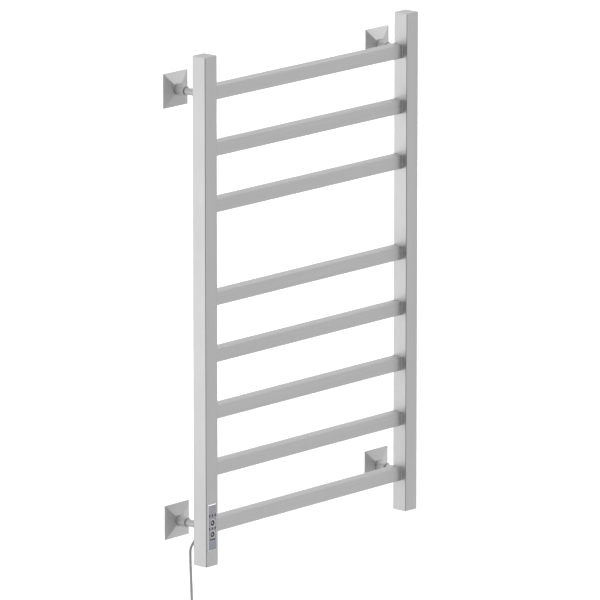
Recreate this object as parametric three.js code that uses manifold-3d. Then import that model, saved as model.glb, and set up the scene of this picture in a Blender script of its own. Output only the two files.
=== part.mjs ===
// A wall-mounted electric towel warmer rack: two square posts, eight box rungs, four adjustable
// wall brackets, a two-button controller let into the left post, and a mains cord that hangs
// below the frame with its spare length wound into a tied coil.
//
// Millimetres. +Z is up, the wall is the plane Y = 0 and the rack stands in front of it at -Y.
// X = 0 is midway between the posts, and Z = 0 is midway between the upper and lower brackets.

import * as THREE from 'three';
import { mergeVertices } from 'three/addons/utils/BufferGeometryUtils.js';
import Module from 'manifold-3d';

const wasm = await Module();
wasm.setup();

// ---------------------------------------------------------------- driving dimensions

// Clearance between solids that touch on the real object.
const GAP = 0.3;

// The frame.
const HEIGHT = 900;
const POST_CENTRES = 519.5;
const POST = 30;
const POST_WALL = 1.5;
const POST_CORNER = 1;
const STANDOFF = 55;
const CAP_THICKNESS = 1.6;
const CAP_PLUG_DEPTH = 8;
const CAP_PLUG_WALL = 1.6;

// The rungs: three at the top, a wide gap for folded towels, and five below.
const RUNG_DEPTH = 20;
const RUNG_HEIGHT = 25;
const RUNG_WALL = 1.2;
const RUNG_CORNER = 1.2;
const OUTER_RUNG_Z = 382;
const UPPER_PITCH = 99;
const UPPER_COUNT = 3;
const LOWER_PITCH = 100.5;
const LOWER_COUNT = 5;

// The wall brackets.
const BRACKET_Z = OUTER_RUNG_Z;
const BASE_RADIUS = 19;
const BASE_THICKNESS = 3.5;
const WALL_SCREW_OFFSET = 13.5;
const WALL_SCREW_HOLE = 2.3;
const COVER_SIZE = 61;
const COVER_RIM = 2;
const COVER_DEPTH = 8;
const COVER_NECK = 21;
const COVER_WALL = 1.25;
const SLEEVE_RADIUS = 9;
const SLEEVE_END = 27;
const STUD_RADIUS = 6.25;
const STUD_ENGAGEMENT = 13;
const SPIGOT_RADIUS = 4;
const GRUB_SCREW_RADIUS = 2;
const GRUB_SCREW_Y = -SLEEVE_END + 5;

// The heating cable.
const CABLE_RADIUS = 2.5;
const CABLE_BEND = 8;
const CABLE_Y = -66;
const CABLE_LANE = 4.75;
const CABLE_END_Z = -424;
const CABLE_WINDOW = [10, 12];

// The controller in the left post, from its top mark row down to its relay.
const PANEL_WIDTH = 22.8;
const PANEL_HEIGHT = 83;
const PANEL_Z = -380.7;
const PANEL_THICKNESS = 2;
const PANEL_PROUD = 0.8;
const BUTTON_HEIGHTS = [-372.4, -392.9];
const BUTTON_RADIUS = 5.1;
const BUTTON_FLANGE = 0.7;
const RING_RADIUS = 6.75;
const LIGHT_HEIGHTS = [-359.4, -382.5];
const LIGHT_PITCH = 7;
const LIGHT_OFFSETS = [-LIGHT_PITCH, 0, LIGHT_PITCH];
const LIGHT_WINDOWS = [[2.8, 5], [2.8, 3.8]];
const BAR_Z = -401.9;
const BAR_WINDOW = [13, 2.2];
const HOUSING_DEPTH = 8.4;
const HOUSING_WALL = 1;
const BOARD_THICKNESS = 1.2;
const BOARD_HOLE = 1.2;
const SWITCH_SIZE = [6, 6];
const SWITCH_CASE = 2.5;
const SWITCH_PLUNGER = 0.8;
const RELAY_WIDTH = 13;
const RELAY_TOP = -405.7;
const RELAY_BOTTOM = -419.2;

// The parts wired inside the left post.
const TERMINAL_WIDTH = 16;
const TERMINAL_BOTTOM = -438;
const SENSOR = { radius: 2, length: 12, x: 6, inset: 5, z: -318 };
const CUTOUT = { radius: 2.4, length: 16, x: -4, inset: 6, z: -290 };
const EARTH_SCREW_RADIUS = 2;
const EARTH_SCREW_LENGTH = 7;
const EARTH_SCREW_Z = -433;

// The mains cord: where it leaves the left post, and the coil of its spare length.
const CORD_DIAMETER = 4.6;
const CORD_EXIT_Z = -402.5;
const BOOT_LENGTH = 21;
const BOOT_RADIUS = 5;
const BOOT_NECK_RADIUS = 4.5;
const GLAND_RADIUS = 7;
const NUT_THICKNESS = 3;
const COIL_RADIUS = 27;
const COIL_TURNS_ACROSS = 3;
const COIL_CORNER = 2;
const COIL_Z = -572;
const TIE_WIDTH = 9;
const TIE_THICKNESS = 1.2;
const TIE_SLACK = 0.7;

// The plug.
const PLUG_TOP = -592;
const PLUG_HALF = [13, 11.5];
const PLUG_NOSE = 14;
const PLUG_BODY = 34;
const PLUG_WALL = 2;
const PLUG_RECESS = 3;
const PLUG_LAP = 0.5;
const BLADE_LENGTH = 16;
const BLADE_SPACING = 12.7;
const EARTH_PIN_RADIUS = 2.4;

// ---------------------------------------------------------------- derived places

const POST_X = POST_CENTRES / 2;
const POST_BACK = -STANDOFF;
const POST_FRONT = POST_BACK - POST;
const POST_Y = (POST_BACK + POST_FRONT) / 2;
const POST_INNER = POST - 2 * POST_WALL;
const RUNG_Y = POST_BACK - RUNG_DEPTH / 2;
const RUNG_LENGTH = POST_CENTRES - POST - 2 * GAP;
const RUNG_HEIGHTS = [];
for (let i = 0; i < UPPER_COUNT; i += 1) {
  RUNG_HEIGHTS.push(OUTER_RUNG_Z - i * UPPER_PITCH);
}
for (let i = LOWER_COUNT - 1; i >= 0; i -= 1) {
  RUNG_HEIGHTS.push(-OUTER_RUNG_Z + i * LOWER_PITCH);
}

const PANEL_FRONT = POST_FRONT - PANEL_PROUD;
const PANEL_BACK = PANEL_FRONT + PANEL_THICKNESS;
const HOUSING_FRONT = PANEL_BACK + GAP;
const HOUSING_BACK = HOUSING_FRONT + HOUSING_DEPTH;
const BOARD_BACK = HOUSING_BACK - 1.4;
const BOARD_FRONT = BOARD_BACK - BOARD_THICKNESS;
const SWITCH_BACK = BOARD_FRONT - GAP;
const RING_SEAT = PANEL_FRONT + 0.8;
const NUT_FRONT = POST_BACK - POST_WALL - GAP;

const COIL_HALF = (COIL_TURNS_ACROSS * CORD_DIAMETER) / 2 + 0.2;

// ---------------------------------------------------------------- materials

const finish = (color, metalness, roughness) => () =>
  new THREE.MeshStandardMaterial({ color, metalness, roughness });

const satinSteel = finish(0xb4b4b4, 0.9, 0.35);
const zinc = finish(0x9a9da0, 0.8, 0.5);
const chrome = finish(0xd8d8da, 1, 0.15);
const greyPanel = finish(0x9a9aa8, 0.2, 0.4);
const blackPlastic = finish(0x2b2c30, 0, 0.4);
const smokedPlastic = finish(0x26272b, 0, 0.2);
const greenBoard = finish(0x1f5a34, 0, 0.5);
const whitePlastic = finish(0xe6e4de, 0, 0.45);
const redSilicone = finish(0x9c3a30, 0, 0.6);
const greyCord = finish(0xa9a9a9, 0, 0.55);
const brass = finish(0xc2a15a, 0.9, 0.35);

// ---------------------------------------------------------------- solids and meshes

// A closed geometry as a solid, with its shared vertices merged.
function solidOf(geometry) {
  const plain = geometry.index ? geometry.toNonIndexed() : geometry.clone();
  plain.deleteAttribute('normal');
  plain.deleteAttribute('uv');
  const merged = mergeVertices(plain, 1e-4);
  return new wasm.Manifold(new wasm.Mesh({
    numProp: 3,
    vertProperties: merged.attributes.position.array,
    triVerts: new Uint32Array(merged.index.array),
  }));
}

// A solid as a flat-shaded geometry.
function geometryOf(solid) {
  const mesh = solid.getMesh();
  const geometry = new THREE.BufferGeometry();
  geometry.setAttribute('position', new THREE.BufferAttribute(mesh.vertProperties, 3));
  geometry.setIndex(new THREE.BufferAttribute(mesh.triVerts, 1));
  const flat = geometry.toNonIndexed();
  flat.computeVertexNormals();
  return flat;
}

function cut(geometry, ...tools) {
  const solid = tools.reduce((left, tool) => left.subtract(solidOf(tool)), solidOf(geometry));
  return geometryOf(solid);
}

function join(geometry, ...others) {
  const solid = others.reduce((left, other) => left.add(solidOf(other)), solidOf(geometry));
  return geometryOf(solid);
}

function overlapOf(geometry, other) {
  return geometryOf(solidOf(geometry).intersect(solidOf(other)));
}

// A box between two opposite corners.
function block([x0, y0, z0], [x1, y1, z1]) {
  const geometry = new THREE.BoxGeometry(x1 - x0, y1 - y0, z1 - z0);
  return geometry.translate((x0 + x1) / 2, (y0 + y1) / 2, (z0 + z1) / 2);
}

// A round bar along Y from y0 to y1.
function barY(radius, y0, y1, x, z, sides = 24) {
  const geometry = new THREE.CylinderGeometry(radius, radius, y1 - y0, sides);
  return geometry.translate(x, (y0 + y1) / 2, z);
}

// A turned shape about a Y axis through (x, z): points are [radius, y], with y rising.
function turnedY(points, x, z, sides = 24) {
  const profile = points.map(([radius, y]) => new THREE.Vector2(radius, y));
  return new THREE.LatheGeometry(profile, sides).translate(x, 0, z);
}

function roundedRectangle(path, width, height, radius) {
  const x = width / 2 - radius;
  const y = height / 2 - radius;
  path.absarc(x, y, radius, 0, Math.PI / 2);
  path.absarc(-x, y, radius, Math.PI / 2, Math.PI);
  path.absarc(-x, -y, radius, Math.PI, 1.5 * Math.PI);
  path.absarc(x, -y, radius, 1.5 * Math.PI, 2 * Math.PI);
  path.closePath();
  return path;
}

// A solid box with rounded vertical corners, centred, along Z.
function roundedBar(width, depth, corner, length) {
  const shape = roundedRectangle(new THREE.Shape(), width, depth, corner);
  const options = { depth: length, bevelEnabled: false, curveSegments: 2 };
  return new THREE.ExtrudeGeometry(shape, options).translate(0, 0, -length / 2);
}

// A square or box tube with open ends, centred, along Z.
function boxTube(width, depth, wall, corner, length) {
  const shape = roundedRectangle(new THREE.Shape(), width, depth, corner);
  const bore = roundedRectangle(new THREE.Path(), width - 2 * wall, depth - 2 * wall, corner / 2);
  shape.holes.push(bore);
  const options = { depth: length, bevelEnabled: false, curveSegments: 2 };
  return new THREE.ExtrudeGeometry(shape, options).translate(0, 0, -length / 2);
}

// A route given by its knots: a swept tube has one section at each of them.
class KnotRoute extends THREE.Curve {
  constructor(knots) {
    super();
    this.knots = knots;
  }

  index(t) {
    return Math.round(t * (this.knots.length - 1));
  }

  getPoint(t, target = new THREE.Vector3()) {
    return target.copy(this.knots[this.index(t)]);
  }

  getPointAt(u, target) {
    return this.getPoint(u, target);
  }

  getTangentAt(u, target = new THREE.Vector3()) {
    const i = this.index(u);
    const last = this.knots.length - 1;
    const here = this.knots[i];
    const into = here.clone().sub(this.knots[Math.max(i - 1, 0)]).normalize();
    const away = this.knots[Math.min(i + 1, last)].clone().sub(here).normalize();
    return target.addVectors(into, away).normalize();
  }
}

// A solid round tube through the knots.
function sweep(knots, radius, sides) {
  const section = new THREE.Shape();
  section.absarc(0, 0, radius, 0, 2 * Math.PI);
  return new THREE.ExtrudeGeometry(section, {
    steps: knots.length - 1,
    curveSegments: sides,
    bevelEnabled: false,
    extrudePath: new KnotRoute(knots),
  });
}

// Knots of a route with straight runs between corners, each corner turned at one radius.
function roundedRoute(corners, radius, stepsPerCorner) {
  const knots = [corners[0]];
  for (let i = 1; i < corners.length - 1; i += 1) {
    const into = corners[i].clone().sub(corners[i - 1]).normalize();
    const away = corners[i + 1].clone().sub(corners[i]).normalize();
    const centre = corners[i].clone().addScaledVector(into, -radius).addScaledVector(away, radius);
    for (let step = 0; step <= stepsPerCorner; step += 1) {
      const angle = (step / stepsPerCorner) * (Math.PI / 2);
      const knot = centre.clone();
      knot.addScaledVector(away, -radius * Math.cos(angle));
      knot.addScaledVector(into, radius * Math.sin(angle));
      knots.push(knot);
    }
  }
  knots.push(corners[corners.length - 1]);
  return knots;
}

const towelWarmer = new THREE.Group();

function add(name, geometry, material) {
  const mesh = new THREE.Mesh(geometry, material());
  mesh.name = name;
  towelWarmer.add(mesh);
  return mesh;
}

// ---------------------------------------------------------------- posts and their end caps

// Openings that both posts have: a cable window at each rung and a hole for each bracket stud.
function sharedPostCuts(side) {
  const [windowDepth, windowHeight] = CABLE_WINDOW;
  const innerWall = -side * (POST / 2 - POST_WALL / 2);
  const cuts = RUNG_HEIGHTS.map((z) => block(
    [innerWall - POST_WALL, CABLE_Y - POST_Y - windowDepth / 2, z - windowHeight / 2],
    [innerWall + POST_WALL, CABLE_Y - POST_Y + windowDepth / 2, z + windowHeight / 2],
  ));
  for (const z of [BRACKET_Z, -BRACKET_Z]) {
    cuts.push(barY(SPIGOT_RADIUS + GAP, POST / 2 - 2 * POST_WALL, POST / 2 + 1, 0, z));
  }
  return cuts;
}

// Openings of the left post alone: the controller's window, the cord's hole and the earth screw's.
function controlPostCuts() {
  const halfWidth = PANEL_WIDTH / 2 + GAP;
  const halfHeight = PANEL_HEIGHT / 2 + GAP;
  const front = -POST / 2;
  return [
    block(
      [-halfWidth, front - 1, PANEL_Z - halfHeight],
      [halfWidth, front + 2 * POST_WALL, PANEL_Z + halfHeight],
    ),
    barY(BOOT_NECK_RADIUS + GAP, POST / 2 - 2 * POST_WALL, POST / 2 + 1, 0, CORD_EXIT_Z),
    barY(EARTH_SCREW_RADIUS + GAP, POST / 2 - 2 * POST_WALL, POST / 2 + 1, 0, EARTH_SCREW_Z),
  ];
}

function addPost(name, side, extraCuts) {
  const length = HEIGHT - 2 * (CAP_THICKNESS + GAP);
  const tube = boxTube(POST, POST, POST_WALL, POST_CORNER, length);
  const post = add(name, cut(tube, ...sharedPostCuts(side), ...extraCuts), satinSteel);
  post.position.set(side * POST_X, POST_Y, 0);
}

addPost('left_post', -1, controlPostCuts());
addPost('right_post', 1, []);

// A cap is a thin plate over the tube's end, with a hollow plug pressed into the bore.
function addCap(name, side, up) {
  const plate = roundedBar(POST, POST, POST_CORNER, CAP_THICKNESS);
  plate.translate(0, 0, CAP_THICKNESS / 2);
  const width = POST_INNER - 2 * GAP;
  const plug = boxTube(width, width, CAP_PLUG_WALL, 1, CAP_PLUG_DEPTH);
  plug.translate(0, 0, -CAP_PLUG_DEPTH / 2 + 0.1);
  const cap = add(name, join(plate, plug), satinSteel);
  cap.position.set(side * POST_X, POST_Y, up * (HEIGHT / 2 - CAP_THICKNESS));
  cap.rotation.x = up > 0 ? 0 : Math.PI;
}

addCap('left_top_cap', -1, 1);
addCap('left_bottom_cap', -1, -1);
addCap('right_top_cap', 1, 1);
addCap('right_bottom_cap', 1, -1);

// ---------------------------------------------------------------- rungs

RUNG_HEIGHTS.forEach((z, i) => {
  const tube = boxTube(RUNG_HEIGHT, RUNG_DEPTH, RUNG_WALL, RUNG_CORNER, RUNG_LENGTH);
  const rung = add(`rung_${i + 1}`, tube.rotateY(Math.PI / 2), satinSteel);
  rung.position.set(0, RUNG_Y, z);
});

// ---------------------------------------------------------------- heating cable

// One cable runs to and fro through every rung from the lowest to the highest, climbing inside
// the posts, and comes back down the left post to the terminal block.
function heatingCableCorners() {
  const lane = POST_X - CABLE_LANE;
  const corners = [new THREE.Vector3(-lane, CABLE_Y, CABLE_END_Z)];
  let side = -1;
  for (const z of [...RUNG_HEIGHTS].reverse()) {
    corners.push(new THREE.Vector3(side * lane, CABLE_Y, z));
    side = -side;
    corners.push(new THREE.Vector3(side * lane, CABLE_Y, z));
  }
  const returnLane = POST_X + 1.5 * CABLE_LANE;
  corners[corners.length - 1].x = -returnLane;
  corners.push(new THREE.Vector3(-returnLane, CABLE_Y, CABLE_END_Z));
  return corners;
}

add(
  'heating_cable',
  sweep(roundedRoute(heatingCableCorners(), CABLE_BEND, 2), CABLE_RADIUS, 6),
  redSilicone,
);

// ---------------------------------------------------------------- wall brackets

// A four-sided frustum about Y: half-widths at its back (y1) and front (y0) faces.
function frustumY(halfFront, halfBack, y0, y1) {
  const corner = Math.SQRT2;
  const geometry = new THREE.CylinderGeometry(halfBack * corner, halfFront * corner, y1 - y0, 4);
  return geometry.rotateY(Math.PI / 4).translate(0, (y0 + y1) / 2, 0);
}

// The base is a round plate against the wall, with two screw holes.
function baseGeometry() {
  const holes = [-1, 1].map((side) => barY(
    WALL_SCREW_HOLE,
    -BASE_THICKNESS - 1,
    1,
    side * WALL_SCREW_OFFSET,
    0,
    12,
  ));
  return cut(barY(BASE_RADIUS, -BASE_THICKNESS, 0, 0, 0, 28), ...holes);
}

// The cover is a thin four-sided pyramid that slides on the sleeve and hides the base.
function coverGeometry() {
  const half = COVER_SIZE / 2;
  const neck = COVER_NECK / 2;
  const rim = block([-half, -COVER_RIM, -half], [half, -GAP, half]);
  const shell = join(rim, frustumY(neck, half, -COVER_DEPTH, -COVER_RIM));
  const inner = half - COVER_WALL;
  const hollow = overlapOf(
    frustumY(neck, half, -COVER_DEPTH + COVER_WALL, -COVER_RIM + COVER_WALL),
    block([-inner, -COVER_DEPTH, -inner], [inner, 0, inner]),
  );
  const mouth = block([-inner, -COVER_RIM + COVER_WALL - 0.01, -inner], [inner, 1, inner]);
  const bore = barY(SLEEVE_RADIUS + GAP, -COVER_DEPTH - 1, 1, 0, 0, 24);
  return cut(shell, hollow, mouth, bore);
}

// The sleeve is a turned tube with a foot on the base and a bevelled rim at its open end.
function sleeveGeometry() {
  const bore = STUD_RADIUS + GAP;
  const foot = -BASE_THICKNESS - GAP;
  const tube = turnedY([
    [bore, -SLEEVE_END + 0.6],
    [bore + 0.6, -SLEEVE_END],
    [SLEEVE_RADIUS - 0.9, -SLEEVE_END],
    [SLEEVE_RADIUS, -SLEEVE_END + 0.9],
    [SLEEVE_RADIUS, foot - 2],
    [SLEEVE_RADIUS + 2, foot - 2],
    [SLEEVE_RADIUS + 2, foot],
    [bore, foot],
    [bore, -SLEEVE_END + 0.6],
  ], 0, 0);
  const tapped = new THREE.CylinderGeometry(
    GRUB_SCREW_RADIUS + GAP,
    GRUB_SCREW_RADIUS + GAP,
    SLEEVE_RADIUS,
    12,
  );
  tapped.rotateX(Math.PI / 2).translate(0, GRUB_SCREW_Y, -SLEEVE_RADIUS);
  return cut(tube, tapped);
}

// The grub screw stands in the sleeve's underside, with a hexagon socket in its outer end.
function grubScrewGeometry() {
  const outer = SLEEVE_RADIUS - 0.3;
  const inner = STUD_RADIUS + GAP;
  const length = outer - inner;
  const screw = new THREE.CylinderGeometry(GRUB_SCREW_RADIUS, GRUB_SCREW_RADIUS, length, 12);
  const socket = new THREE.CylinderGeometry(1, 1, length, 6);
  socket.translate(0, -length / 2, 0);
  return cut(screw, socket).rotateX(Math.PI / 2).translate(0, GRUB_SCREW_Y, -(outer + inner) / 2);
}

// The stud telescopes in the sleeve, and its threaded spigot goes through the post's back wall.
function studGeometry() {
  const inner = -SLEEVE_END + STUD_ENGAGEMENT;
  const shoulder = POST_BACK + GAP;
  return turnedY([
    [0, shoulder - 4.5],
    [SPIGOT_RADIUS, shoulder - 4.5],
    [SPIGOT_RADIUS, shoulder],
    [STUD_RADIUS, shoulder],
    [STUD_RADIUS, inner - 0.8],
    [STUD_RADIUS - 0.8, inner],
    [0, inner],
  ], 0, 0);
}

function addBracket(place, side, up) {
  const parts = [
    add(`${place}_base`, baseGeometry(), zinc),
    add(`${place}_cover`, coverGeometry(), satinSteel),
    add(`${place}_sleeve`, sleeveGeometry(), satinSteel),
    add(`${place}_grub_screw`, grubScrewGeometry(), zinc),
    add(`${place}_stud`, studGeometry(), satinSteel),
  ];
  for (const part of parts) {
    part.position.set(side * POST_X, 0, up * BRACKET_Z);
  }
}

addBracket('upper_left', -1, 1);
addBracket('lower_left', -1, -1);
addBracket('upper_right', 1, 1);
addBracket('lower_right', 1, -1);

// ---------------------------------------------------------------- controller

function panelGeometry() {
  const [barWidth, barHeight] = BAR_WINDOW;
  const plate = roundedBar(PANEL_WIDTH, PANEL_HEIGHT, 0.8, PANEL_THICKNESS);
  plate.rotateX(Math.PI / 2).translate(0, (PANEL_FRONT + PANEL_BACK) / 2, PANEL_Z);
  const cuts = [];
  for (const z of BUTTON_HEIGHTS) {
    cuts.push(barY(BUTTON_RADIUS + GAP, PANEL_FRONT - 1, PANEL_BACK + 1, 0, z, 24));
    cuts.push(barY(RING_RADIUS + GAP, PANEL_FRONT - 1, RING_SEAT, 0, z, 24));
  }
  LIGHT_HEIGHTS.forEach((z, i) => {
    const [width, height] = LIGHT_WINDOWS[i];
    for (const x of LIGHT_OFFSETS) {
      cuts.push(block(
        [x - width / 2, PANEL_FRONT - 1, z - height / 2],
        [x + width / 2, PANEL_BACK + 1, z + height / 2],
      ));
    }
  });
  cuts.push(block(
    [-barWidth / 2, PANEL_FRONT - 1, BAR_Z - barHeight / 2],
    [barWidth / 2, PANEL_BACK + 1, BAR_Z + barHeight / 2],
  ));
  return cut(plate, ...cuts);
}

// An open tray behind the panel that holds the circuit board.
function housingGeometry() {
  const halfWidth = PANEL_WIDTH / 2;
  const halfHeight = PANEL_HEIGHT / 2 - 1.2;
  return cut(
    block(
      [-halfWidth, HOUSING_FRONT, PANEL_Z - halfHeight],
      [halfWidth, HOUSING_BACK, PANEL_Z + halfHeight],
    ),
    block(
      [-halfWidth + HOUSING_WALL, HOUSING_FRONT - 1, PANEL_Z - halfHeight + HOUSING_WALL],
      [halfWidth - HOUSING_WALL, HOUSING_BACK - HOUSING_WALL, PANEL_Z + halfHeight - HOUSING_WALL],
    ),
  );
}

function boardGeometry() {
  const halfWidth = PANEL_WIDTH / 2 - 1.6;
  const halfHeight = PANEL_HEIGHT / 2 - 3;
  return cut(
    block(
      [-halfWidth, BOARD_FRONT, PANEL_Z - halfHeight],
      [halfWidth, BOARD_BACK, PANEL_Z + halfHeight],
    ),
    barY(BOARD_HOLE, BOARD_FRONT - 1, BOARD_BACK + 1, 0, PANEL_Z + halfHeight - 3, 12),
  );
}

// A round cap with a dished front and a retaining flange behind the panel.
function buttonGeometry() {
  const front = PANEL_FRONT - 0.3;
  const flange = PANEL_BACK + GAP + 0.1;
  const back = flange + 1;
  return turnedY([
    [0, front + 0.5],
    [1.8, front + 0.35],
    [2.6, front],
    [BUTTON_RADIUS - 0.4, front],
    [BUTTON_RADIUS, front + 0.4],
    [BUTTON_RADIUS, flange],
    [BUTTON_RADIUS + BUTTON_FLANGE, flange],
    [BUTTON_RADIUS + BUTTON_FLANGE, back],
    [0, back],
  ], 0, 0);
}

// A bright ring let into the panel around each button.
function buttonRingGeometry() {
  const inner = BUTTON_RADIUS + GAP;
  const back = RING_SEAT - GAP;
  const front = PANEL_FRONT - 0.5;
  return turnedY([
    [inner, front + 0.2],
    [inner + 0.3, front],
    [RING_RADIUS - 0.4, front],
    [RING_RADIUS, front + 0.4],
    [RING_RADIUS, back],
    [inner, back],
    [inner, front + 0.2],
  ], 0, 0);
}

// A tactile switch: a square case with a round plunger facing the button.
function switchGeometry() {
  const [width, height] = SWITCH_SIZE;
  const front = SWITCH_BACK - SWITCH_CASE;
  const body = block([-width / 2, front, -height / 2], [width / 2, SWITCH_BACK, height / 2]);
  return join(body, barY(1.7, front - SWITCH_PLUNGER, front + 0.2, 0, 0, 16));
}

// A smoked bar behind the panel with three prongs that fill the indicator windows.
function lightPipeGeometry(window) {
  const width = window[0] / 2 - GAP;
  const height = window[1] / 2 - GAP;
  const barFront = PANEL_BACK + GAP;
  const bar = block(
    [-LIGHT_PITCH - width, barFront, -height],
    [LIGHT_PITCH + width, barFront + 1.4, height],
  );
  const prongs = LIGHT_OFFSETS.map((x) => block(
    [x - width, PANEL_FRONT, -height],
    [x + width, barFront + 0.2, height],
  ));
  return join(bar, ...prongs);
}

// A dark lens that fills the long window under the lower button.
function indicatorBarGeometry() {
  const width = BAR_WINDOW[0] / 2 - GAP;
  const height = BAR_WINDOW[1] / 2 - GAP;
  return block([-width, PANEL_FRONT, BAR_Z - height], [width, PANEL_BACK + 1.5, BAR_Z + height]);
}

// A small relay on the board below the indicator bar.
function relayGeometry() {
  return block(
    [-RELAY_WIDTH / 2, PANEL_BACK + GAP + 0.2, RELAY_BOTTOM],
    [RELAY_WIDTH / 2, BOARD_FRONT - GAP, RELAY_TOP],
  );
}

const controller = new THREE.Group();
controller.position.x = -POST_X;
towelWarmer.add(controller);

function addToController(name, geometry, material, z = 0) {
  const mesh = add(name, geometry, material);
  controller.add(mesh);
  mesh.position.z = z;
}

addToController('control_panel', panelGeometry(), greyPanel);
addToController('control_housing', housingGeometry(), blackPlastic);
addToController('circuit_board', boardGeometry(), greenBoard);
addToController('relay', relayGeometry(), whitePlastic);
addToController('indicator_bar', indicatorBarGeometry(), smokedPlastic);
['upper', 'lower'].forEach((row, i) => {
  addToController(`${row}_button`, buttonGeometry(), blackPlastic, BUTTON_HEIGHTS[i]);
  addToController(`${row}_button_ring`, buttonRingGeometry(), chrome, BUTTON_HEIGHTS[i]);
  addToController(`${row}_switch`, switchGeometry(), blackPlastic, BUTTON_HEIGHTS[i]);
  const pipe = lightPipeGeometry(LIGHT_WINDOWS[i]);
  addToController(`${row}_light_pipe`, pipe, smokedPlastic, LIGHT_HEIGHTS[i]);
});

// ---------------------------------------------------------------- wiring inside the left post

// The terminal block stands under the controller, where both ends of the heating cable arrive.
addToController(
  'terminal_block',
  block(
    [-TERMINAL_WIDTH / 2, POST_FRONT + 4, TERMINAL_BOTTOM],
    [TERMINAL_WIDTH / 2, CABLE_Y + 4, CABLE_END_Z - GAP],
  ),
  whitePlastic,
);

// The temperature sensor and the thermal cut-out are short rods in the post above the controller.
function addRod(name, rod, material) {
  const geometry = new THREE.CylinderGeometry(rod.radius, rod.radius, rod.length, 12);
  geometry.rotateX(Math.PI / 2).translate(rod.x, POST_FRONT + rod.inset, 0);
  addToController(name, geometry, material, rod.z);
}

addRod('temperature_sensor', SENSOR, brass);
addRod('thermal_cutout', CUTOUT, whitePlastic);

// A pan-head screw through the post's back wall bonds the frame to the earth wire.
addToController('earth_screw', turnedY([
  [0, POST_BACK - EARTH_SCREW_LENGTH],
  [EARTH_SCREW_RADIUS, POST_BACK - EARTH_SCREW_LENGTH],
  [EARTH_SCREW_RADIUS, POST_BACK + GAP],
  [3.8, POST_BACK + GAP],
  [3.8, POST_BACK + 1.4],
  [2.6, POST_BACK + 2.3],
  [0, POST_BACK + 2.3],
], 0, 0, 20), zinc, EARTH_SCREW_Z);

// ---------------------------------------------------------------- strain relief

// The boot points down and back at 45 degrees. Its neck goes through the post's back wall.
function strainReliefGeometry() {
  const neckEnd = NUT_FRONT - NUT_THICKNESS + 0.8;
  const flange = turnedY([
    [0, neckEnd],
    [BOOT_NECK_RADIUS, neckEnd],
    [BOOT_NECK_RADIUS, POST_BACK + GAP],
    [GLAND_RADIUS, POST_BACK + GAP],
    [GLAND_RADIUS, POST_BACK + 2],
    [GLAND_RADIUS - 1, POST_BACK + 3],
    [0, POST_BACK + 3],
  ], 0, 0, 24);
  const tip = CORD_DIAMETER / 2 + 0.7;
  const boot = turnedY([
    [0, 0],
    [BOOT_RADIUS, 0],
    [BOOT_RADIUS, 4],
    [tip, BOOT_LENGTH - 0.4],
    [tip - 0.4, BOOT_LENGTH],
    [0, BOOT_LENGTH],
  ], 0, 0, 20);
  boot.rotateX(-Math.PI / 4).translate(0, POST_BACK, 0);
  const outside = block([-10, POST_BACK + GAP, -30], [10, 0, 10]);
  return join(flange, overlapOf(boot, outside));
}

addToController('strain_relief', strainReliefGeometry(), greyCord, CORD_EXIT_Z);

// A hexagonal nut clamps the boot's neck inside the post.
addToController('gland_nut', cut(
  barY(GLAND_RADIUS, NUT_FRONT - NUT_THICKNESS, NUT_FRONT, 0, 0, 6),
  barY(BOOT_NECK_RADIUS + GAP, NUT_FRONT - NUT_THICKNESS - 1, NUT_FRONT + 1, 0, 0, 24),
), blackPlastic, CORD_EXIT_Z);

// ---------------------------------------------------------------- mains cord

// The cord's free stretch, from the boot's tip to the coil: [across from the post's axis, Y, Z].
const CORD_ROUTE = [
  [0, -39.9, -417.6],
  [0, -37.0, -421.1],
  [0, -34.9, -425.1],
  [0, -33.6, -429.4],
  [0, -33.15, -433.9],
  [0.1, -33.1, -440],
  [0.3, -33.15, -450],
  [0.65, -33.3, -462],
  [1.05, -33.5, -474],
  [1.45, -33.7, -486],
  [1.85, -33.9, -498],
  [2.2, -34.1, -510],
  [2.5, -34.2, -520],
  [2.7, -34.3, -530],
  [2.85, -34.35, -540],
  [2.9, -34.35, -547],
  [2.9, -34.35, -554],
];

const cordPoints = CORD_ROUTE.map(([x, y, z]) => new THREE.Vector3(x, y, z));
const cordCurve = new THREE.CatmullRomCurve3(cordPoints);
addToController('power_cord', sweep(cordCurve.getSpacedPoints(18), CORD_DIAMETER / 2, 8), greyCord);

// The coil's outermost turn lies straight under the end of the free stretch.
const [cordEndX, cordEndY] = CORD_ROUTE[CORD_ROUTE.length - 1];
const COIL_X = cordEndX + COIL_RADIUS + CORD_DIAMETER;
const COIL_Y = cordEndY + CORD_DIAMETER;

// The coil of spare cord as one ring, turned about a Y axis, with chamfered corners.
function coilGeometry() {
  const inner = COIL_RADIUS - COIL_HALF;
  const outer = COIL_RADIUS + COIL_HALF;
  const front = COIL_Y - COIL_HALF;
  const back = COIL_Y + COIL_HALF;
  return turnedY([
    [inner, front + COIL_CORNER],
    [inner + COIL_CORNER, front],
    [outer - COIL_CORNER, front],
    [outer, front + COIL_CORNER],
    [outer, back - COIL_CORNER],
    [outer - COIL_CORNER, back],
    [inner + COIL_CORNER, back],
    [inner, back - COIL_CORNER],
    [inner, front + COIL_CORNER],
  ], COIL_X, 0, 30);
}

addToController('cord_coil', coilGeometry(), greyCord, COIL_Z);

// A strap around the top of the coil keeps its turns together.
function coilTieGeometry() {
  const low = COIL_RADIUS - COIL_HALF - TIE_SLACK - GAP;
  const high = COIL_RADIUS + COIL_HALF + GAP;
  const half = COIL_HALF + GAP;
  return cut(
    block(
      [-TIE_WIDTH / 2, -half - TIE_THICKNESS, low - TIE_THICKNESS],
      [TIE_WIDTH / 2, half + TIE_THICKNESS, high + TIE_THICKNESS],
    ),
    block([-TIE_WIDTH, -half, low], [TIE_WIDTH, half, high]),
  ).translate(COIL_X, COIL_Y, 0);
}

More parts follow.
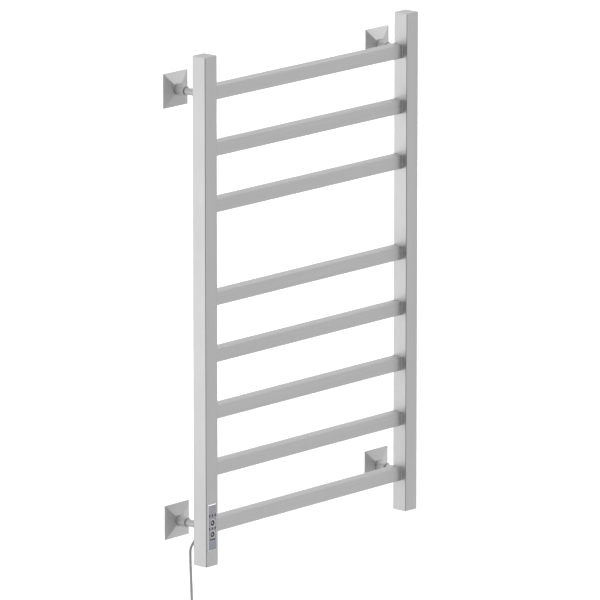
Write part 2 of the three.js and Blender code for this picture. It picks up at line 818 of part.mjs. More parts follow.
addToController('coil_tie', coilTieGeometry(), blackPlastic, COIL_Z);

// ---------------------------------------------------------------- plug

// The plug hangs from the coil's last turn. Its face is the lower end of its body.
const PLUG_FACE = -PLUG_NOSE - PLUG_BODY + PLUG_LAP;

// A moulded plug: a tapered nose around the cord, then a rounded body with a recess for the pins.
function plugBodyGeometry() {
  const [halfX, halfY] = PLUG_HALF;
  const nose = new THREE.CylinderGeometry(CORD_DIAMETER / 2 + 1.2, 7.5, PLUG_NOSE, 20);
  nose.rotateX(Math.PI / 2).translate(0, 0, -PLUG_NOSE / 2);
  const body = roundedBar(2 * halfX, 2 * halfY, 5, PLUG_BODY);
  body.translate(0, 0, PLUG_FACE + PLUG_BODY / 2);
  const mouth = [2 * (halfX - PLUG_WALL), 2 * (halfY - PLUG_WALL)];
  const recess = roundedBar(...mouth, 3, 2 * PLUG_RECESS).translate(0, 0, PLUG_FACE);
  return cut(join(nose, body), recess);
}

// Two flat blades and a round earth pin on the insert that closes the plug's face.
function plugPinsGeometry() {
  const [halfX, halfY] = PLUG_HALF;
  const inset = PLUG_WALL + GAP;
  const depth = PLUG_RECESS - GAP;
  const insert = roundedBar(2 * (halfX - inset), 2 * (halfY - inset), 2.8, depth);
  insert.translate(0, 0, PLUG_FACE + depth / 2);
  const blades = [-1, 1].map((side) => block(
    [(side * BLADE_SPACING) / 2 - 0.75, -6.4, PLUG_FACE - BLADE_LENGTH],
    [(side * BLADE_SPACING) / 2 + 0.75, -0.1, PLUG_FACE + 1],
  ));
  const earth = new THREE.CylinderGeometry(EARTH_PIN_RADIUS, EARTH_PIN_RADIUS, BLADE_LENGTH + 2, 16);
  earth.rotateX(Math.PI / 2).translate(0, 5.4, PLUG_FACE - BLADE_LENGTH / 2);
  return join(insert, ...blades, earth);
}

const plug = new THREE.Group();
plug.position.set(cordEndX, COIL_Y, PLUG_TOP);
controller.add(plug);
plug.add(add('plug_body', plugBodyGeometry(), blackPlastic));
plug.add(add('plug_pins', plugPinsGeometry(), brass));

export default towelWarmer;
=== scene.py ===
# Looks for a wall-mounted towel warmer rack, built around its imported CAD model.
#
# Metres. +Z is up, the wall is the plane Y = 0 and the rack stands in front of it at -Y.
# Every object sits at the origin with its place in its mesh.

import math

import bmesh
import bpy
import numpy as np
from bpy.props import FloatProperty, FloatVectorProperty, IntProperty, PointerProperty
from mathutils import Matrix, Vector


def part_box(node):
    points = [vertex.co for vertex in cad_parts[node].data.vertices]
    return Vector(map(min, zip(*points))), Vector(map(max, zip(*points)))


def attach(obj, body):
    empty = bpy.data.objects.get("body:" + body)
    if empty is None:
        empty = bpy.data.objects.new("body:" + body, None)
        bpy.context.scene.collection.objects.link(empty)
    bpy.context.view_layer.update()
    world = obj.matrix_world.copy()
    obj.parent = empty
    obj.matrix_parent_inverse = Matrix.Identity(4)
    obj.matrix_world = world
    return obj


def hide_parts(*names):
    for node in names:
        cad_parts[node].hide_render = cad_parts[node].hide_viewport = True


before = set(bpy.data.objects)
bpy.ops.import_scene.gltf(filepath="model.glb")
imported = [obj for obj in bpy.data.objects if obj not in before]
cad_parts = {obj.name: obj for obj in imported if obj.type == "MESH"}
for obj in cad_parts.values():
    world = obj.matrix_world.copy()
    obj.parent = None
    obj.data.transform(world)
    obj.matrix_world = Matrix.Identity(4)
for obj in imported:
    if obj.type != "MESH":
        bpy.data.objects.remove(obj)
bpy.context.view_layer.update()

bl_info = {
    "name": "Towel warmer rack",
    "version": (1, 0, 0),
    "blender": (4, 5, 0),
    "location": "View3D > Sidebar > Towel warmer",
    "description": "Builds the finished look of a wall-mounted towel warmer rack around its CAD frame",
    "category": "Add Mesh",
}

MM = 0.001
GAP = 0.3 * MM
SHARP_ANGLE = math.radians(40)
CORNERS = ("upper_left", "lower_left", "upper_right", "lower_right")
ROWS = ("upper", "lower")
RUNGS = tuple(f"rung_{i + 1}" for i in range(8))
UPRIGHT, LEVEL, TURNED = "upright", "level", "turned"

# Sizes of details that the frame does not give. Places and main sizes are read from it.
POST_WALL = 1.5 * MM
RUNG_WALL = 1.2 * MM
CAP_THICKNESS = 1.6 * MM
CAP_PLUG_DEPTH = 7.5 * MM
PANEL_CORNER = 1.6 * MM
LIGHT_PITCH = 7 * MM
LIGHT_HALF_WIDTH = 1.4 * MM
RING_RADIUS = 6.75 * MM
BUTTON_BORE = 5.4 * MM
STUD_HOLE = 4.3 * MM
CORD_HOLE = 4.8 * MM
SCREW_HOLE = 2.3 * MM
BASE_SCREW_OFFSET = 13.5 * MM
BLADE_OFFSET = (6.35 * MM, -3.25 * MM)
EARTH_OFFSET = 5.4 * MM


# ---------------------------------------------------------------- surfaces worked out as arrays

def soften(stations, reach, steps=4):
    """Rounds a profile's inner corners. Corner C becomes the parabola (1-t)²A + 2t(1-t)C + t²B,
    where A and B lie on its two edges, `reach` from C or half an edge if that is less."""
    points = np.asarray(stations, float)
    here = points[1:-1]

    def along(edge):
        length = np.linalg.norm(edge, axis=1, keepdims=True)
        return edge / length * np.minimum(np.reshape(reach, (-1, 1)), length / 2)

    start = (here + along(points[:-2] - here))[:, None]
    end = (here + along(points[2:] - here))[:, None]
    t = np.linspace(0, 1, steps + 1)[None, :, None]
    curve = (1 - t) ** 2 * start + 2 * t * (1 - t) * here[:, None] + t ** 2 * end
    return np.concatenate([points[:1], curve.reshape(-1, points.shape[1]), points[-1:]])


def turned(profile):
    """Stations of a turned shape: each (radius, place along the axis) is a ring of whole quarters."""
    radius, along = np.asarray(profile, float).T
    return np.column_stack([radius, radius, radius, along])


def boxed(profile, half_a, half_b):
    """Stations of a box section: each (offset, place along) grows a sharp core of the given half sizes
    by the offset, which is also the corners' radius where it is above zero."""
    offset, along = np.asarray(profile, float).T
    return np.column_stack([half_a + offset, half_b + offset, np.maximum(offset, 0), along])


def ring_grid(stations, axis, centre, per_corner=6, solid=False):
    """A stack of rings, one for each station (half width, half height, corner radius, place along).
    With t from 0 to 90 degrees in quarter q, a ring's point is the quarter's arc centre,
    (half - corner) in that quarter's signs, plus corner times (cos, sin) of (t + 90 q).
    A solid one starts and ends on its axis."""
    half_a, half_b, corner, along = np.asarray(stations, float).T[:, :, None]
    angle = (np.linspace(0, math.pi / 2, per_corner + 1)[None]
             + np.arange(4)[:, None] * math.pi / 2).ravel()
    sign_a = np.repeat([1, -1, -1, 1], per_corner + 1)
    sign_b = np.repeat([1, 1, -1, -1], per_corner + 1)
    a = sign_a * (half_a - corner) + corner * np.cos(angle)
    b = sign_b * (half_b - corner) + corner * np.sin(angle)
    grid = np.stack([a, b, np.broadcast_to(along, a.shape)], -1)
    if solid:
        middle = grid.mean(axis=1, keepdims=True)
        ends = np.broadcast_to(middle, grid.shape)
        grid = np.concatenate([ends[:1], grid, ends[-1:]])
    return np.roll(grid, {"z": 0, "x": 1, "y": 2}[axis], axis=-1) + np.asarray(centre)


def block_grid(low, high):
    """A box between two corners, as four rings along Z that start and end on its axis."""
    low, high = np.asarray(low, float), np.asarray(high, float)
    half = (high - low) / 2
    stations = [(half[0], half[1], 0, -half[2]), (half[0], half[1], 0, half[2])]
    return ring_grid(stations, "z", (low + high) / 2, per_corner=0, solid=True)


def mesh_of(name, grids):
    """One mesh from grids of points: quad (i, j) joins (i, j), (i, j+1), (i+1, j+1), (i+1, j), and each
    row closes on itself. Points that meet are merged and the faces turned outwards."""
    points, faces, count = [], [], 0
    for grid in grids:
        rows, columns = grid.shape[:2]
        index = np.arange(rows * columns).reshape(rows, columns) + count
        beside = np.roll(index, -1, axis=1)
        quads = np.stack([index[:-1], beside[:-1], beside[1:], index[1:]], -1)
        faces.append(quads.reshape(-1, 4))
        points.append(grid.reshape(-1, 3))
        count += rows * columns
    mesh = bpy.data.meshes.new(name)
    mesh.from_pydata(np.concatenate(points).tolist(), [], np.concatenate(faces).tolist())
    worked = bmesh.new()
    worked.from_mesh(mesh)
    bmesh.ops.remove_doubles(worked, verts=worked.verts, dist=1e-7)
    bmesh.ops.dissolve_degenerate(worked, edges=worked.edges, dist=1e-7)
    bmesh.ops.recalc_face_normals(worked, faces=worked.faces)
    worked.to_mesh(mesh)
    worked.free()
    return mesh


def settle(piece):
    """Applies the modifiers of a piece to its mesh."""
    bpy.context.view_layer.update()
    evaluated = piece.evaluated_get(bpy.context.evaluated_depsgraph_get())
    mesh = bpy.data.meshes.new_from_object(evaluated)
    piece.modifiers.clear()
    piece.data = mesh


def carve(piece, grids):
    """Cuts the closed shapes that the grids make out of a piece."""
    cutter = bpy.data.objects.new("cutter", mesh_of("cutter", grids))
    bpy.context.scene.collection.objects.link(cutter)
    cut = piece.modifiers.new("cut", "BOOLEAN")
    cut.operation = "DIFFERENCE"
    cut.solver = "EXACT"
    cut.use_self = True
    cut.object = cutter
    settle(piece)
    bpy.data.objects.remove(cutter)


def new_piece(name, grids, material, body, stands_for=(), cuts=()):
    """A finished piece: its mesh and cuts, smooth shading with true flats, its material, the body
    that it rides on and the CAD nodes that it stands for."""
    piece = bpy.data.objects.new(name, mesh_of(name, grids))
    bpy.context.scene.collection.objects.link(piece)
    if cuts:
        carve(piece, cuts)
    piece.data.shade_smooth()
    piece.data.set_sharp_from_angle(angle=SHARP_ANGLE)
    shading = piece.modifiers.new("shading", "WEIGHTED_NORMAL")
    shading.weight = 100
    shading.keep_sharp = True
    settle(piece)
    piece.data.name = name
    piece.data.materials.clear()
    piece.data.materials.append(material)
    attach(piece, body)
    if stands_for:
        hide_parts(*stands_for)
    return piece


def place_of(node):
    """Centre and half sizes of a CAD node."""
    low, high = (np.array(corner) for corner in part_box(node))
    return (low + high) / 2, (high - low) / 2


def depth_of(node):
    """The axis through a CAD node along Y, as (x, 0, z), and the Y of its front and its back."""
    centre, half = place_of(node)
    return (centre[0], 0, centre[2]), centre[1] - half[1], centre[1] + half[1]


# ---------------------------------------------------------------- shader node groups

def node(tree, kind, inputs=None, **settings):
    """A shader node with its settings, and each input set to a value or linked to a socket."""
    made = tree.nodes.new(kind)
    for key, value in settings.items():
        setattr(made, key, value)
    for socket, value in (inputs or {}).items():
        if isinstance(value, bpy.types.NodeSocket):
            tree.links.new(value, made.inputs[socket])
        else:
            made.inputs[socket].default_value = value
    return made


def start_group(name, inputs, outputs):
    """An empty node group with named sockets: its tree, its input node and its output node."""
    tree = bpy.data.node_groups.new(name, "ShaderNodeTree")
    for label, kind, default in inputs:
        socket = tree.interface.new_socket(label, in_out="INPUT", socket_type=kind)
        socket.default_value = default
    for label in outputs:
        tree.interface.new_socket(label, in_out="OUTPUT", socket_type="NodeSocketFloat")
    return tree, tree.nodes.new("NodeGroupInput"), tree.nodes.new("NodeGroupOutput")


def maths(tree, operation, *values):
    """What a Math node makes of one to three values or sockets."""
    made = node(tree, "ShaderNodeMath", dict(enumerate(values)), operation=operation)
    return made.outputs["Value"]


def object_place(tree):
    """A point's place on its piece, in metres."""
    return node(tree, "ShaderNodeTexCoord").outputs["Object"]


def noise(tree, vector, scale, detail, roughness=0.5):
    """A noise of the vector, between 0 and 1."""
    made = node(tree, "ShaderNodeTexNoise", {
        "Vector": vector, "Scale": scale, "Detail": detail, "Roughness": roughness})
    return made.outputs["Fac"]


def spread(tree, value, low, high, to_low=0.0, to_high=1.0):
    """A value from low to high carried smoothly onto to_low to to_high."""
    made = node(tree, "ShaderNodeMapRange", {
        "Value": value, "From Min": low, "From Max": high, "To Min": to_low, "To Max": to_high})
    made.interpolation_type = "SMOOTHSTEP"
    return made.outputs["Result"]


def grain_group():
    """Brushed grain: fine noise stretched along the brushing, and long faint streaks over it."""
    tree, given, out = start_group(
        "Brushed grain",
        [("Lines per metre", "NodeSocketVector", (2500.0, 2500.0, 30.0))],
        ["Height", "Shade"])
    lines = node(tree, "ShaderNodeVectorMath", {0: object_place(tree), 1: given.outputs[0]},
                 operation="MULTIPLY")
    fine = noise(tree, lines.outputs["Vector"], 1.0, 2.0, 0.6)
    broad = noise(tree, lines.outputs["Vector"], 0.13, 2.0)
    tree.links.new(fine, out.inputs["Height"])
    both = maths(tree, "MULTIPLY", fine, broad)
    tree.links.new(spread(tree, both, 0.1, 0.42), out.inputs["Shade"])
    return tree


def marks_group():
    """Handling marks: soft patches, broken by a finer noise, that dull or brighten a surface."""
    tree, given, out = start_group(
        "Handling marks", [("Patches per metre", "NodeSocketFloat", 14.0)], ["Mask"])
    patches = noise(tree, object_place(tree), given.outputs[0], 3.0, 0.55)
    tree.links.new(spread(tree, patches, 0.38, 0.68), out.inputs["Mask"])
    return tree


def edges_group():
    """Edge wear: one less the dot of the true normal and the normal rounded over the given width."""
    tree, given, out = start_group(
        "Edge wear", [("Width", "NodeSocketFloat", 0.0008)], ["Mask"])
    true = node(tree, "ShaderNodeNewGeometry").outputs["Normal"]
    rounded = node(tree, "ShaderNodeBevel", {"Radius": given.outputs[0]}, samples=6)
    alike = node(tree, "ShaderNodeVectorMath", {0: true, 1: rounded.outputs[0]},
                 operation="DOT_PRODUCT")
    tree.links.new(spread(tree, alike.outputs["Value"], 0.995, 0.86), out.inputs["Mask"])
    return tree


def moulded_group():
    """Moulded grain: the fine pebbled skin of a spark-eroded mould, and a faint clouding of shade."""
    tree, given, out = start_group(
        "Moulded grain", [("Pebbles per metre", "NodeSocketFloat", 2600.0)], ["Height", "Shade"])
    place = object_place(tree)
    pebbles = node(tree, "ShaderNodeTexVoronoi", {"Vector": place, "Scale": given.outputs[0]},
                   feature="SMOOTH_F1")
    tree.links.new(pebbles.outputs["Distance"], out.inputs["Height"])
    tree.links.new(spread(tree, noise(tree, place, 60.0, 4.0), 0.3, 0.7), out.inputs["Shade"])
    return tree


def use_group(tree, name, make, **values):
    """The named group placed in a material, made the first time it is asked for."""
    made = tree.nodes.new("ShaderNodeGroup")
    made.node_tree = bpy.data.node_groups.get(name) or make()
    for label, value in values.items():
        made.inputs[label.replace("_", " ")].default_value = value
    return made.outputs


# ---------------------------------------------------------------- materials

def start_material(name, **constants):
    """A material with one Principled BSDF, and constants set on the shader's own sockets."""
    material = bpy.data.materials.new(name)
    material.use_nodes = True
    shader = material.node_tree.nodes["Principled BSDF"]
    for label, value in constants.items():
        shader.inputs[label.replace("_", " ")].default_value = value
    return material, material.node_tree, shader


def mix_colour(tree, amount, one, two):
    """A colour that goes from one to two with the amount. Either may be a socket."""
    made = node(tree, "ShaderNodeMix", {"Factor": amount}, data_type="RGBA")
    for socket, value in ((6, one), (7, two)):
        if isinstance(value, bpy.types.NodeSocket):
            tree.links.new(value, made.inputs[socket])
        else:
            made.inputs[socket].default_value = (*value[:3], 1)
    return made.outputs[2]


def bump(tree, shader, height, distance, strength=1.0):
    """Feeds a height to the shader's normal."""
    made = node(tree, "ShaderNodeBump", {
        "Height": height, "Distance": distance, "Strength": strength})
    tree.links.new(made.outputs["Normal"], shader.inputs["Normal"])


def shade(colour, factor):
    """A colour made lighter or darker by a factor."""
    return tuple(min(channel * factor, 1.0) for channel in colour)


def made_once(name):
    """The material of that name, if it is there already."""
    return bpy.data.materials.get(name)


GRAIN_STRETCH = 90


def satin_steel(direction):
    """Satin stainless steel, brushed along the piece: grain in colour, roughness and bump,
    duller where it is handled and brighter where edges are rubbed, with a painted shade along
    the tight bends of upright pieces."""
    name = f"satin steel, {direction} grain"
    if made_once(name):
        return made_once(name)
    steel = bpy.context.scene.rack_steel
    across, along = steel.grain_lines, steel.grain_lines / GRAIN_STRETCH
    lines = {
        UPRIGHT: (across, across, along),
        LEVEL: (along, across, across),
        TURNED: (along, across, along),
    }[direction]
    roughness = steel.turned_roughness if direction == TURNED else steel.roughness
    material, tree, shader = start_material(name, Metallic=1.0)
    grain = use_group(tree, "Brushed grain", grain_group, Lines_per_metre=lines)
    marks = use_group(tree, "Handling marks", marks_group, Patches_per_metre=11.0)
    edges = use_group(tree, "Edge wear", edges_group, Width=0.0006)
    colour = tuple(steel.colour)
    base = mix_colour(tree, grain["Shade"], shade(colour, 0.965), shade(colour, 1.03))
    base = mix_colour(tree, edges["Mask"], base, shade(colour, 1.06))
    # Upright pieces get a painted shade: the base colour darkens along the tight bends, standing in for
    # the dark reflection down the posts' corners.
    if direction == UPRIGHT:
        base = mix_colour(tree, painted_corner_shade_mask(tree), base, shade(colour, steel.painted_post_corner_shade))
    tree.links.new(base, shader.inputs["Base Color"])
    rough = maths(tree, "MULTIPLY_ADD", grain["Shade"], 0.07, roughness - 0.035)
    rough = maths(tree, "MULTIPLY_ADD", marks["Mask"], 0.04, rough)
    rough = maths(tree, "MULTIPLY_ADD", edges["Mask"], -0.06, rough)
    tree.links.new(rough, shader.inputs["Roughness"])
    bump(tree, shader, grain["Height"], steel.grain_depth)
    return material


def painted_corner_shade_mask(tree):
    """Where a shade is painted along the tight bends of an upright tube, standing in for the dark line
    that reflections draw down the posts' corners: the product of the normal's X and Y, without its
    sign, is 0 on the faces and a half in the middle of a bend."""
    normal = node(tree, "ShaderNodeNewGeometry").outputs["Normal"]
    axes = node(tree, "ShaderNodeSeparateXYZ", {"Vector": normal}).outputs
    size = maths(tree, "ABSOLUTE", maths(tree, "MULTIPLY", axes["X"], axes["Y"]))
    return spread(tree, size, 0.04, 0.3)


def plain_metal(name, colour, roughness, spangle=0.12, wear=0.0008):
    """A plated or solid metal with faint clouding and rubbed edges."""
    if made_once(name):
        return made_once(name)
    material, tree, shader = start_material(name, Metallic=1.0)
    marks = use_group(tree, "Handling marks", marks_group, Patches_per_metre=160.0)
    edges = use_group(tree, "Edge wear", edges_group, Width=wear)
    base = mix_colour(tree, marks["Mask"], shade(colour, 1 - spangle), colour)
    base = mix_colour(tree, edges["Mask"], base, shade(colour, 1.15))
    tree.links.new(base, shader.inputs["Base Color"])
    rough = spread(tree, marks["Mask"], 0.0, 1.0, roughness * 1.25, roughness)
    tree.links.new(rough, shader.inputs["Roughness"])
    return material


def moulded_plastic(name, colour, roughness, depth=4e-6, wear=0.35, pebbles=2600.0, **constants):
    """Moulded plastic: pebbled skin in bump and roughness, clouded shade and paler edges."""
    if made_once(name):
        return made_once(name)
    material, tree, shader = start_material(name, **constants)
    grain = use_group(tree, "Moulded grain", moulded_group, Pebbles_per_metre=pebbles)
    edges = use_group(tree, "Edge wear", edges_group, Width=0.0007)
    base = mix_colour(tree, grain["Shade"], shade(colour, 0.92), shade(colour, 1.06))
    worn = tuple(channel + (0.5 - channel) * wear * 0.3 for channel in colour)
    base = mix_colour(tree, edges["Mask"], base, worn)
    tree.links.new(base, shader.inputs["Base Color"])
    rough = spread(tree, grain["Shade"], 0.0, 1.0, roughness * 1.1, roughness * 0.92)
    tree.links.new(rough, shader.inputs["Roughness"])
    bump(tree, shader, grain["Height"], depth)
    return material


def black_plastic():
    """Matt black plastic of the plug, the strap, the buttons and the controller's case."""
    return moulded_plastic("black moulded plastic", (0.035, 0.035, 0.039), 0.42)


def zinc_plate():
    """Zinc-plated steel of the base plates and the screws."""
    return plain_metal("zinc-plated steel", (0.60, 0.61, 0.63), 0.36)


def plain_brass():
    """Brass of the plug's pins and the temperature sensor."""
    return plain_metal("plain brass", (0.70, 0.52, 0.25), 0.28)


def cord_sheath():
    """Grey sheath of the cord and its strain relief."""
    return moulded_plastic(
        "grey cord sheath", tuple(bpy.context.scene.rack_cord.colour), 0.5,
        depth=8e-6, wear=0.1, pebbles=1500.0)


def floor_paint():
    """Plain pale floor: even white with a barely uneven sheen."""
    stage = bpy.context.scene.rack_stage
    material, tree, shader = start_material("pale floor")
    shader.inputs["Base Color"].default_value = (*stage.floor_colour, 1)
    place = object_place(tree)
    rough = spread(tree, noise(tree, place, 1.5, 3.0), 0.3, 0.7, 0.75, 0.85)
    tree.links.new(rough, shader.inputs["Roughness"])
    return material


# ---------------------------------------------------------------- settings

def colour_setting(name, description, default):
    """A colour that the user may change."""
    return FloatVectorProperty(name=name, description=description, default=default,
                               subtype="COLOR", size=3, min=0.0, max=1.0)


def length_setting(name, description, default):
    """A length in metres that the user may change. Heights below the origin are negative."""
    return FloatProperty(name=name, description=description, default=default,
                         unit="LENGTH", precision=5)


def number_setting(name, description, default, low=0.0, high=10000.0):
    """A plain number that the user may change."""
    return FloatProperty(name=name, description=description, default=default, min=low, max=high)


def span_setting(name, description, default):
    """Two angles in degrees, counted from the front towards the left."""
    return FloatVectorProperty(name=name, description=description, default=default, size=2)


class SteelSettings(bpy.types.PropertyGroup):
    """Colour, grain and edge rounding of the satin steel."""
    colour: colour_setting("Steel", "Colour of the satin steel", (0.60, 0.60, 0.60))
    roughness: number_setting("Roughness", "Mean roughness of the satin steel", 0.42, 0.05, 1.0)
    turned_roughness: number_setting(
        "Turned roughness", "Mean roughness of the turned sleeves and studs", 0.54, 0.05, 1.0)
    grain_lines: number_setting(
        "Grain lines", "Brushed lines in a metre across the grain", 2600.0, 100.0)
    grain_depth: length_setting("Grain depth", "Height of the brushed lines", 4e-6)
    # Painted shade: the factor on the steel's colour in the posts' tight bends, standing in for the dark
    # reflection down their corners.
    painted_post_corner_shade: number_setting("Bend shade", "Shade of the posts' tight bends", 0.45, 0.0, 1.0)
    rung_edge: length_setting("Rung edge", "Radius of the rungs' long edges", 1.3 * MM)
    post_edge: length_setting("Post edge", "Radius of the posts' long edges", 1.0 * MM)
    weld: length_setting("Weld", "Height of the weld fillet where a rung meets a post", 0.5 * MM)


class ControlSettings(bpy.types.PropertyGroup):
    """Colours of the controller."""
    panel: colour_setting("Panel", "Colour of the panel's film", (0.344, 0.339, 0.385))
    foot: colour_setting("Panel foot", "Colour of the film's blank foot", (0.29, 0.315, 0.37))
    foot_top: length_setting("Foot top", "Height of the top of the blank foot", -406 * MM)
    bezel: colour_setting("Bezel", "Colour of the panel's bright bevel", (0.93, 0.93, 0.93))
    lens: colour_setting("Lens", "Colour of the smoked windows", (0.02, 0.02, 0.024))
    dot: colour_setting("Dot", "Colour of the dot in each button", (0.42, 0.42, 0.45))


class CordSettings(bpy.types.PropertyGroup):
    """The mains cord and the coil of its spare length."""
    colour: colour_setting("Cord", "Colour of the cord's sheath", (0.345, 0.345, 0.345))
    diameter: length_setting("Diameter", "Outside diameter of the cord", 4.6 * MM)
    coil_radius: length_setting("Coil radius", "Mean radius of the coil's turns", 27 * MM)
    steps: IntProperty(name="Steps", description="Points in each turn of the coil",
                       default=28, min=12, max=64)


class StageSettings(bpy.types.PropertyGroup):
    """Floor, light and camera."""
    floor_height: length_setting("Drop", "Depth of the floor below the bracket centre", 1.1)
    floor_colour: colour_setting("Floor", "Colour of the floor", (0.86, 0.86, 0.86))
    ambient: number_setting("Ambient", "Strength of the even light", 0.80)
    backdrop_light: number_setting("Backdrop", "Light over the floor behind, in watts", 200.0)
    key_light: number_setting("Key", "Light from the left, in watts", 16.0)
    strip_light: number_setting("Strip", "Light from the front right, in watts", 7.0)
    dark_span: span_setting("Dark card", "Angles between which it stands", (32.0, 85.0))
    dark_glow: number_setting("Dark card glow", "Brightness of the dark card", 0.05)
    grey_span: span_setting("Grey card", "Angles between which it stands", (-62.0, 32.0))
    grey_glow: number_setting("Grey card glow", "Brightness of the grey card", 0.68)
    bright_span: span_setting("Bright card", "Angles between which it stands", (98.0, 168.0))
    bright_glow: number_setting("Bright card glow", "Brightness of the bright card", 1.33)
    lens: number_setting("Lens", "Focal length of the camera, in millimetres", 503.0, 10.0)


# ---------------------------------------------------------------- camera

# The camera looks along +Y, turned to the right and dipped below level by these degrees.
CAMERA_PLACE = (-10.5385, -9.6252, 3.3153)
CAMERA_TURN = 47.755
CAMERA_DIP = 13.211


class RACK_OT_camera(bpy.types.Operator):
    """Adds the camera: far off to the front left, a little above the rack."""
    bl_idname = "rack.camera"
    bl_label = "Camera"

    def execute(self, context):
        data = bpy.data.cameras.new("camera")
        data.sensor_width = 36
        data.lens = context.scene.rack_stage.lens
        data.clip_end = 200
        camera = bpy.data.objects.new("camera", data)
        context.scene.collection.objects.link(camera)
        camera.location = CAMERA_PLACE
        camera.rotation_euler = np.radians((90 - CAMERA_DIP, 0, -CAMERA_TURN))
        context.scene.camera = camera
        return {"FINISHED"}


# ---------------------------------------------------------------- mains cord

# The free stretch below the boot: [across from the post's axis, Y, Z], in millimetres.
CORD_ROUTE = np.array([
    [0, -39.9, -417.6],
    [0, -37.0, -421.1],
    [0, -34.9, -425.1],
    [0, -33.6, -429.4],
    [0, -33.15, -433.9],
    [0.1, -33.1, -440],
    [0.3, -33.15, -450],
    [0.65, -33.3, -462],
    [1.05, -33.5, -474],
    [1.45, -33.7, -486],
    [1.85, -33.9, -498],
    [2.2, -34.1, -510],
    [2.5, -34.2, -520],
    [2.7, -34.3, -530],
    [2.85, -34.35, -540],
    [2.9, -34.35, -547],
    [2.9, -34.35, -554],
]) * MM
CORD_EXIT = (-0.25975, -0.055, -0.4025)
COIL_Z = -572 * MM
PLUG_TOP = -592 * MM

# Where each turn lies in the coil's section: (diameters out from the mean radius, diameters back).
COIL_SLOTS = np.array([(1, -1), (0, -1), (-1, -1), (-1, 0), (-1, 1), (0, 1), (0, 0), (1, 0)])
# The angle, in degrees before the coil's left side, at which each turn starts to cross to the next slot.
COIL_CROSSINGS = np.array([72, 72, 142, 142, 212, 282, 352])
COIL_CROSSING_WIDTH = 70


def cord_path(settings):
    """The cord's centreline. After the free stretch come the turns: at angle a the point lies at
    radius R + d out(a) and depth d back(a), where out and back go from one slot to the next along
    (1 - cos πs) / 2 as the angle passes that turn's crossing, and d is the cord's diameter."""
    post_x = place_of("left_post")[0][0]
    free = CORD_ROUTE + (post_x, 0, 0)
    turns = len(COIL_SLOTS)
    angle = np.linspace(0, 360 * turns, settings.steps * turns + 1)
    start = 360 * (np.arange(turns - 1) + 1) - COIL_CROSSINGS
    share = np.clip((angle[:, None] - start) / COIL_CROSSING_WIDTH, 0, 1)
    share = (1 - np.cos(math.pi * share)) / 2
    out, back = (COIL_SLOTS[0] + share @ np.diff(COIL_SLOTS, axis=0)).T * settings.diameter
    middle = free[-1] + (settings.coil_radius + settings.diameter, settings.diameter, 0)
    radius = settings.coil_radius + out
    turn = np.radians(180 + angle)
    coil = np.column_stack([
        middle[0] + radius * np.cos(turn),
        middle[1] + back,
        COIL_Z + radius * np.sin(turn),
    ])
    tail = np.array([coil[-1] + (0, 0, down * (PLUG_TOP - COIL_Z)) for down in (0.33, 0.66, 1.15)])
    return np.concatenate([free, coil, tail])


